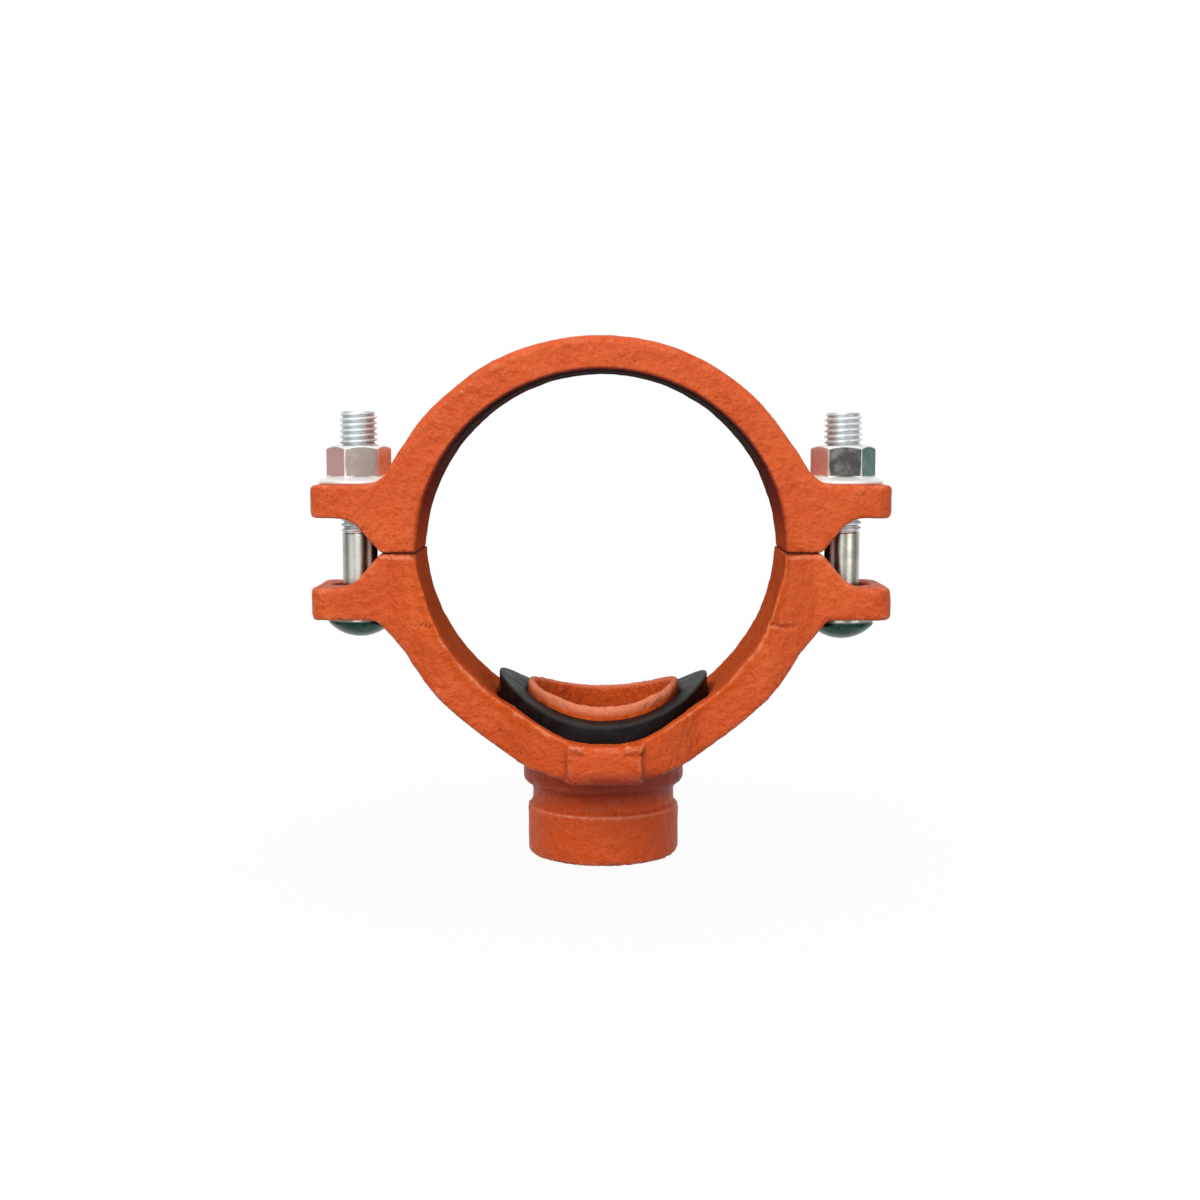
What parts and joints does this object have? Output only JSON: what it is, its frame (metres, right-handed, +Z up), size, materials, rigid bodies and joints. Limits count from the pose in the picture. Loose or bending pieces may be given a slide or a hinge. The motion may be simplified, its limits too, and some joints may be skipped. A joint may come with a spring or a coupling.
{
  "type": "mechanical tee",
  "caption": "Cast clamp halves drawn round a run pipe by track bolts and flange nuts, with a saddle gasket round a locating collar and a short grooved branch outlet.",
  "frame": {"origin": "where the run pipe's axis meets the branch axis, in the plane where the two housings meet", "axes": "+Y along the run pipe, +X through the bolts to the right, +Z up away from the outlet"},
  "size_m": [0.1812, 0.0812, 0.1643],
  "materials": {
    "housing": "orange-red enamel over rough-cast ductile iron",
    "gasket": "matt black moulded rubber",
    "fastener": "bright zinc-plated steel"
  },
  "bodies": {
    "clamp": {"upper_housing": "housing", "lower_housing": "housing", "gasket": "gasket"},
    "left_bolt": {"bolt_left": "fastener"},
    "left_nut": {"nut_left": "fastener"},
    "right_bolt": {"bolt_right": "fastener"},
    "right_nut": {"nut_right": "fastener"}
  },
  "joints": [
    {"name": "left_nut_turn", "type": "hinge", "parent": "clamp", "child": "left_nut", "pos_m": [-0.0768, 0, 0.021], "axis": [0, 0, 1], "range_deg": [0, 1440]},
    {"name": "left_bolt_drop", "type": "slide", "parent": "clamp", "child": "left_bolt", "axis": [0, 0, -1], "range_m": [0, 0.007]},
    {"name": "right_nut_turn", "type": "hinge", "parent": "clamp", "child": "right_nut", "pos_m": [0.0768, 0, 0.021], "axis": [0, 0, 1], "range_deg": [0, 1440]},
    {"name": "right_bolt_drop", "type": "slide", "parent": "clamp", "child": "right_bolt", "axis": [0, 0, -1], "range_m": [0, 0.007]}
  ],
  "couplings": [
    {"joint": "left_nut_turn", "follows": "left_bolt_drop", "rad_per_m": 3590.4},
    {"joint": "right_nut_turn", "follows": "right_bolt_drop", "rad_per_m": 3590.4}
  ]
}
